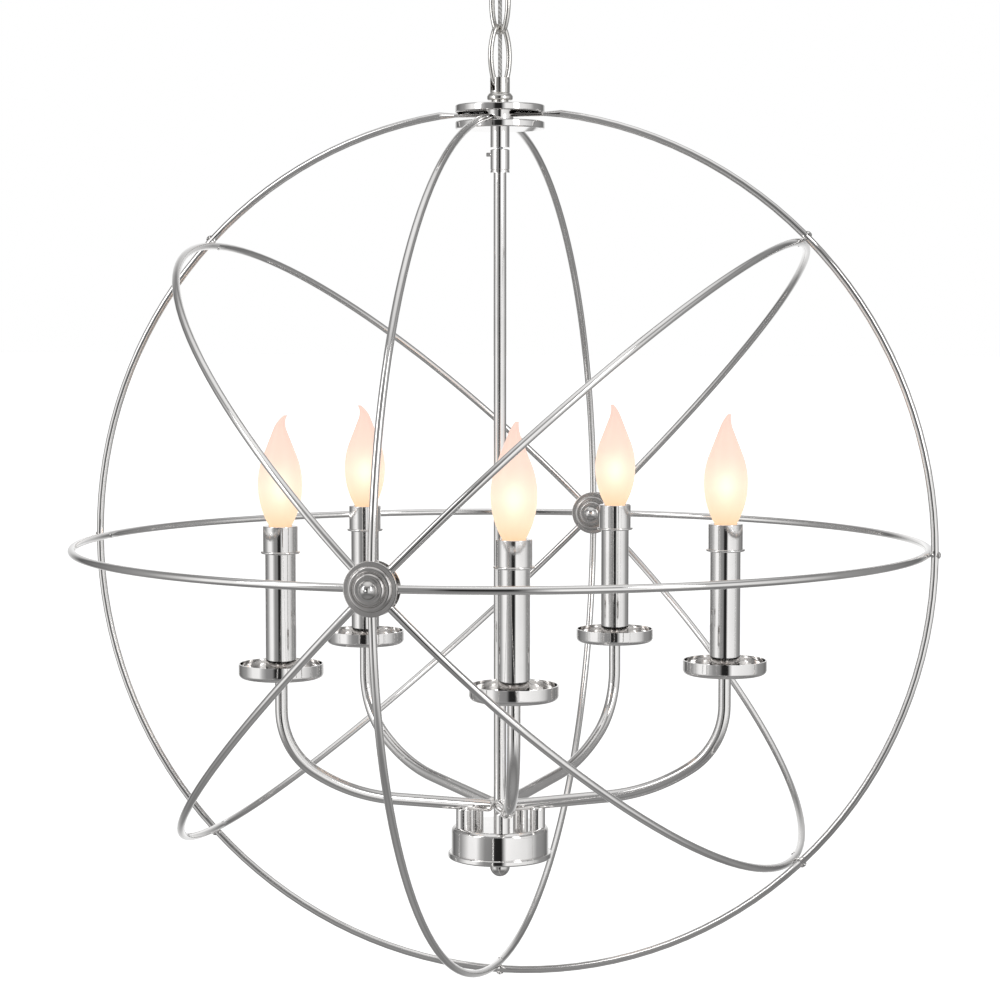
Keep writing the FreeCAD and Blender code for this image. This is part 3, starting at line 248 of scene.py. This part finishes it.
dress(chrome, "ring_main", "ring_vertical", "ring_level", "ring_tilt_right", "ring_tilt_left", "crossing_screws")


# Hub caps: turned steel in two steps, clamped over the stack of ring tabs by a stud and domed
# nuts. Their nickel plate is satin, with the fine rings that the lathe leaves round the hubs' axis.

ORB_CENTRE = (0.0, 0.0, -0.51555)
ACROSS_THE_AXIS = (1.0, 0.0, 1.0)
LATHE_PITCH = math.pi / 4500
satin, tree, shader, spot = finish("satin_nickel", metallic=1.0, roughness=0.15)
cloud = add(tree, "TexNoise", [("Vector", spot)], Scale=90.0, Detail=3.0)
paint(tree, shader, cloud.outputs["Fac"], (0.3, (0.62, 0.605, 0.595)), (0.7, (0.75, 0.73, 0.715)))
away = add(tree, "VectorMath", [(0, spot), (1, ORB_CENTRE)], operation="SUBTRACT")
flat = add(tree, "VectorMath", [(0, away.outputs["Vector"]), (1, ACROSS_THE_AXIS)], operation="MULTIPLY")
reach = add(tree, "VectorMath", [(0, flat.outputs["Vector"])], operation="LENGTH")
turns = add(tree, "Math", [(0, reach.outputs["Value"]), (1, 2 * math.pi / LATHE_PITCH)], operation="MULTIPLY")
rings = add(tree, "Math", [(0, turns.outputs["Value"])], operation="SINE")
bump(tree, shader, rings.outputs["Value"], strength=0.6, height=0.00003)
dress(satin, "front_hub_caps", "back_hub_caps")
nut_plate = chrome_finish("nut_plate", (0.72, 0.71, 0.70), roughness=0.05, haze=0.05)
dress(nut_plate, "hub_nuts")


# Swivel, coupling and stem: a ball in a nylon seat lets the stem hang plumb below the cage. The
# coupling is locked to the ball's neck by a set screw, and the stem is a straight chromed tube.

nylon, tree, shader, spot = finish("seat_nylon", metallic=0.0, roughness=0.45)
speck = add(tree, "TexNoise", [("Vector", spot)], Scale=800.0)
paint(tree, shader, speck.outputs["Fac"], (0.3, (0.78, 0.77, 0.74)), (0.7, (0.88, 0.88, 0.86)))
dress(nylon, "swivel_seat")
dress(chrome, "swivel_socket", "stem_coupling", "set_screw", "stem")


# Round body, arms and posts: a drawn steel drum closed by a shallow cover, with five bent tubes
# that rest in saddled posts on its top, all polished and chromed. The finial is nickel plated.

ARMS = range(1, 6)
dress(chrome, "arm_body", "body_cover", "arm_posts", *["arm_{}".format(k) for k in ARMS])
dress(nut_plate, "bottom_finial")


# Candles: a spun dish on each arm, a straight tube sleeve standing in it, and a rolled-edge cap
# over the sleeve's top. The lamp socket inside is pale moulded plastic.

for k in ARMS:
    dress(chrome, "drip_dish_{}".format(k), "candle_sleeve_{}".format(k))
dress(chrome, "candle_holders")
socket_plastic, tree, shader, spot = finish("socket_plastic", metallic=0.0, roughness=0.5)
mottle = add(tree, "TexNoise", [("Vector", spot)], Scale=250.0)
paint(tree, shader, mottle.outputs["Fac"], (0.3, (0.80, 0.78, 0.72)), (0.7, (0.87, 0.85, 0.80)))
dress(socket_plastic, "lamp_sockets")


# Flame lamps: frosted glass drawn to a bent tip, with a small hot filament inside. The white
# powder inside the glass spreads the light, so it is brightest round the filament and pinker above.

LAMP_FOOT = -0.49625
GLASS_HEIGHT = 0.080
GLASS_CLEARNESS = 0.45
frost, tree, shader, spot = finish("frosted_glass", metallic=0.0, roughness=0.38)
height = add(tree, "SeparateXYZ", [("Vector", spot)])
rise = add(tree, "MapRange", [("Value", height.outputs["Z"]),
                              ("From Min", LAMP_FOOT), ("From Max", LAMP_FOOT + GLASS_HEIGHT)])
tint = ramp(tree, rise.outputs["Result"], [(0.0, (0.98, 0.66, 0.40)), (0.14, (1.0, 0.80, 0.58)),
                                          (0.34, (1.0, 0.86, 0.72)), (0.62, (0.90, 0.69, 0.64)),
                                          (1.0, (0.85, 0.64, 0.60))])
tree.links.new(tint, shader.inputs["Emission Color"])
shader.inputs["Emission Strength"].default_value = 0.62
shader.inputs["Base Color"].default_value = (0.55, 0.47, 0.42, 1.0)
clear = add(tree, "BsdfTransparent", Color=(1.0, 0.93, 0.86, 1.0))
# the glow inside shows through the near side of the glass; the far side is not seen through
inside = add(tree, "NewGeometry")
through = add(tree, "Math", [(0, inside.outputs["Backfacing"]), (1, -GLASS_CLEARNESS), (2, GLASS_CLEARNESS)],
              operation="MULTIPLY_ADD")
glass = add(tree, "MixShader", [("Fac", through.outputs["Value"]),
                                (1, shader.outputs["BSDF"]), (2, clear.outputs["BSDF"])])
tree.links.new(glass.outputs["Shader"], tree.nodes["Material Output"].inputs["Surface"])

FILAMENT_RISE = 0.027
CANDLE_RADIUS = 0.170
GLOW_RADIUS = 0.0135
GLOW_HALF = 0.0220
GLOW_STRENGTH = 60.0
GLOW_ROWS = 12
GLOW_SIDES = 24
glow, tree, shader, spot = finish("lamp_glow", metallic=0.0, roughness=0.8)
tree.nodes.remove(shader)
unit = add(tree, "VectorMath", [(0, spot), (1, (GLOW_RADIUS, GLOW_RADIUS, GLOW_HALF))], operation="DIVIDE")
reach = add(tree, "VectorMath", [(0, unit.outputs["Vector"])], operation="LENGTH")
heat = ramp(tree, reach.outputs["Value"], [(0.0, 1.0), (0.25, 0.80), (0.5, 0.36), (0.75, 0.09), (1.0, 0.0)])
brightness = add(tree, "Math", [(0, heat), (1, GLOW_STRENGTH)], operation="MULTIPLY")
light = add(tree, "Emission", [("Strength", brightness.outputs["Value"])], Color=(1.0, 0.91, 0.76, 1.0))
tree.links.new(light.outputs["Emission"], tree.nodes["Material Output"].inputs["Volume"])


def glow_mesh(name):
    """A closed egg about its own centre, filled with the filament's glow."""
    verts = [(0, 0, -GLOW_HALF)]
    for row in range(1, GLOW_ROWS):
        lean = math.pi * row / GLOW_ROWS
        for side in range(GLOW_SIDES):
            turn = 2 * math.pi * side / GLOW_SIDES
            verts.append((GLOW_RADIUS * math.sin(lean) * math.cos(turn),
                          GLOW_RADIUS * math.sin(lean) * math.sin(turn), -GLOW_HALF * math.cos(lean)))
    verts.append((0, 0, GLOW_HALF))
    last = len(verts) - 1
    faces = []
    for side in range(GLOW_SIDES):
        after = (side + 1) % GLOW_SIDES
        faces.append((0, 1 + after, 1 + side))
        faces.append((last, last - GLOW_SIDES + side, last - GLOW_SIDES + after))
        for row in range(GLOW_ROWS - 2):
            low = 1 + row * GLOW_SIDES
            faces.append((low + side, low + after, low + GLOW_SIDES + after, low + GLOW_SIDES + side))
    mesh = bpy.data.meshes.new(name)
    mesh.from_pydata(verts, [], faces)
    for face in mesh.polygons:
        face.use_smooth = True
    mesh.materials.append(glow)
    return mesh


for k in ARMS:
    dress(frost, "bulb_{}".format(k))
    angle = math.radians(360 / len(ARMS) * (k - 1))
    halo = put_in_scene("lamp_glow_{}".format(k), glow_mesh("lamp_glow_{}".format(k)))
    halo.location = (CANDLE_RADIUS * math.cos(angle), CANDLE_RADIUS * math.sin(angle), LAMP_FOOT + FILAMENT_RISE)
    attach(halo, "lamp_{}".format(k))


# Studio: a pale floor well below the hanging lamp, a white surround with darker gaps between its
# panels, two soft boxes, and the camera where the photograph was taken from.

CAMERA_TURN = math.radians(14.8)
CAMERA_DIP = math.radians(4.22)
TO_CAMERA = Vector((math.sin(CAMERA_TURN), -math.cos(CAMERA_TURN), 0.0))
TO_RIGHT = Vector((math.cos(CAMERA_TURN), math.sin(CAMERA_TURN), 0.0))
UPWARD = Vector((0.0, 0.0, 1.0))

FLOOR_HEIGHT = -1.5
FLOOR_HALF = 60.0
FLOOR_CORNERS = [(-FLOOR_HALF, -FLOOR_HALF), (FLOOR_HALF, -FLOOR_HALF),
                 (FLOOR_HALF, FLOOR_HALF), (-FLOOR_HALF, FLOOR_HALF)]
floor_mesh = bpy.data.meshes.new("studio_floor")
floor_mesh.from_pydata([(x, y, FLOOR_HEIGHT) for x, y in FLOOR_CORNERS], [], [(0, 1, 2, 3)])
floor = put_in_scene("studio_floor", floor_mesh)
paper, tree, shader, spot = finish("floor_paper", metallic=0.0, roughness=0.9)
fibre = add(tree, "TexNoise", [("Vector", spot)], Scale=30.0)
paint(tree, shader, fibre.outputs["Fac"], (0.3, (0.86, 0.86, 0.86)), (0.7, (0.88, 0.88, 0.88)))
# the camera sees the paper lifted to white, with the shadow kept
white = add(tree, "Emission", Strength=0.66)
lift = add(tree, "AddShader", [(0, shader.outputs["BSDF"]), (1, white.outputs["Emission"])])
seen = add(tree, "LightPath")
sees = add(tree, "MixShader", [("Fac", seen.outputs["Is Camera Ray"]),
                               (1, shader.outputs["BSDF"]), (2, lift.outputs["Shader"])])
tree.links.new(sees.outputs["Shader"], tree.nodes["Material Output"].inputs["Surface"])
floor_mesh.materials.append(paper)
floor.visible_glossy = False

world = bpy.data.worlds.new("studio")
bpy.context.scene.world = world
world.use_nodes = True
tree = world.node_tree
tree.nodes.clear()
look = add(tree, "TexCoord").outputs["Generated"]


def along(direction):
    """How far the surround's point lies along a direction: 1 straight ahead, -1 straight behind."""
    return add(tree, "VectorMath", [(0, look), (1, direction)], operation="DOT_PRODUCT").outputs["Value"]


# brightness round the object, by degrees to the right of the camera's side
PANELS = [(-180, 1.0), (-158, 0.62), (-143, 0.12), (-120, 0.26), (-104, 0.34), (-90, 0.66), (-79, 0.95),
          (-58, 1.0), (-47, 0.50), (-36, 0.28), (-19, 0.24), (-12, 0.02), (4, 0.015), (9, 0.45), (15, 1.0),
          (30, 0.94), (66, 0.84), (86, 0.60), (98, 0.32), (120, 0.26), (143, 0.16), (158, 0.62), (180, 1.0)]
bearing = add(tree, "Math", [(0, along(TO_RIGHT)), (1, along(TO_CAMERA))], operation="ARCTAN2")
round_about = add(tree, "MapRange", [("Value", bearing.outputs["Value"]),
                                     ("From Min", -math.pi), ("From Max", math.pi)])
walls = ramp(tree, round_about.outputs["Result"], [((angle + 180) / 360, value) for angle, value in PANELS])
# brightness from straight below (0) to straight above (1), for what is well under or over the object
ROOF = [(0.0, 0.30), (0.12, 0.20), (0.30, 0.34), (0.5, 0.9), (0.70, 0.32), (0.84, 0.24), (0.93, 0.72), (1.0, 0.92)]
height = add(tree, "MapRange", [("Value", along(UPWARD)), ("From Min", -1.0), ("From Max", 1.0)])
roof = ramp(tree, height.outputs["Result"], ROOF)
WALLS_END = 0.28
ROOF_STARTS = 0.62
tilt = add(tree, "Math", [(0, along(UPWARD))], operation="ABSOLUTE")
change = add(tree, "MapRange", [("Value", tilt.outputs["Value"]),
                                ("From Min", WALLS_END), ("From Max", ROOF_STARTS)])
# the sockets of a node that mixes two colours
SHARE, FIRST, SECOND, MIXED = 0, 6, 7, 2
room = add(tree, "Mix", [(SHARE, change.outputs["Result"]), (FIRST, walls), (SECOND, roof)], data_type="RGBA")
# seen straight or through the glass, the surround is plain white
seen = add(tree, "LightPath")
straight = add(tree, "Math", [(0, seen.outputs["Is Camera Ray"]), (1, seen.outputs["Is Transmission Ray"])],
               operation="MAXIMUM")
plain = add(tree, "Mix", [(SHARE, straight.outputs["Value"]), (FIRST, room.outputs[MIXED]),
                          (SECOND, (1.0, 1.0, 1.0, 1.0))], data_type="RGBA")
sky = add(tree, "Background", [("Color", plain.outputs[MIXED])], Strength=1.0)
add(tree, "OutputWorld", [("Surface", sky.outputs["Background"])])

BOX_POWER = 9.0
for name, stand, size in (("left_box", (-1.5, -1.6, 0.6), (0.7, 1.6)),
                          ("right_box", (1.9, -1.2, 0.5), (0.6, 1.5))):
    box = bpy.data.lights.new(name, "AREA")
    box.shape = "RECTANGLE"
    box.size, box.size_y = size
    box.energy = BOX_POWER
    lamp = put_in_scene(name, box)
    lamp.location = Vector(stand)
    lamp.rotation_euler = (Vector(ORB_CENTRE) - lamp.location).to_track_quat("-Z", "Y").to_euler()

eye = bpy.data.cameras.new("photo_camera")
eye.sensor_width = 36.0
eye.lens = 93.35
camera = put_in_scene("photo_camera", eye)
camera.location = (0.492, -1.8621, -0.340)
camera.rotation_euler = (math.pi / 2 - CAMERA_DIP, 0.0, CAMERA_TURN)
bpy.context.scene.camera = camera
bpy.context.scene.view_settings.view_transform = "Standard"
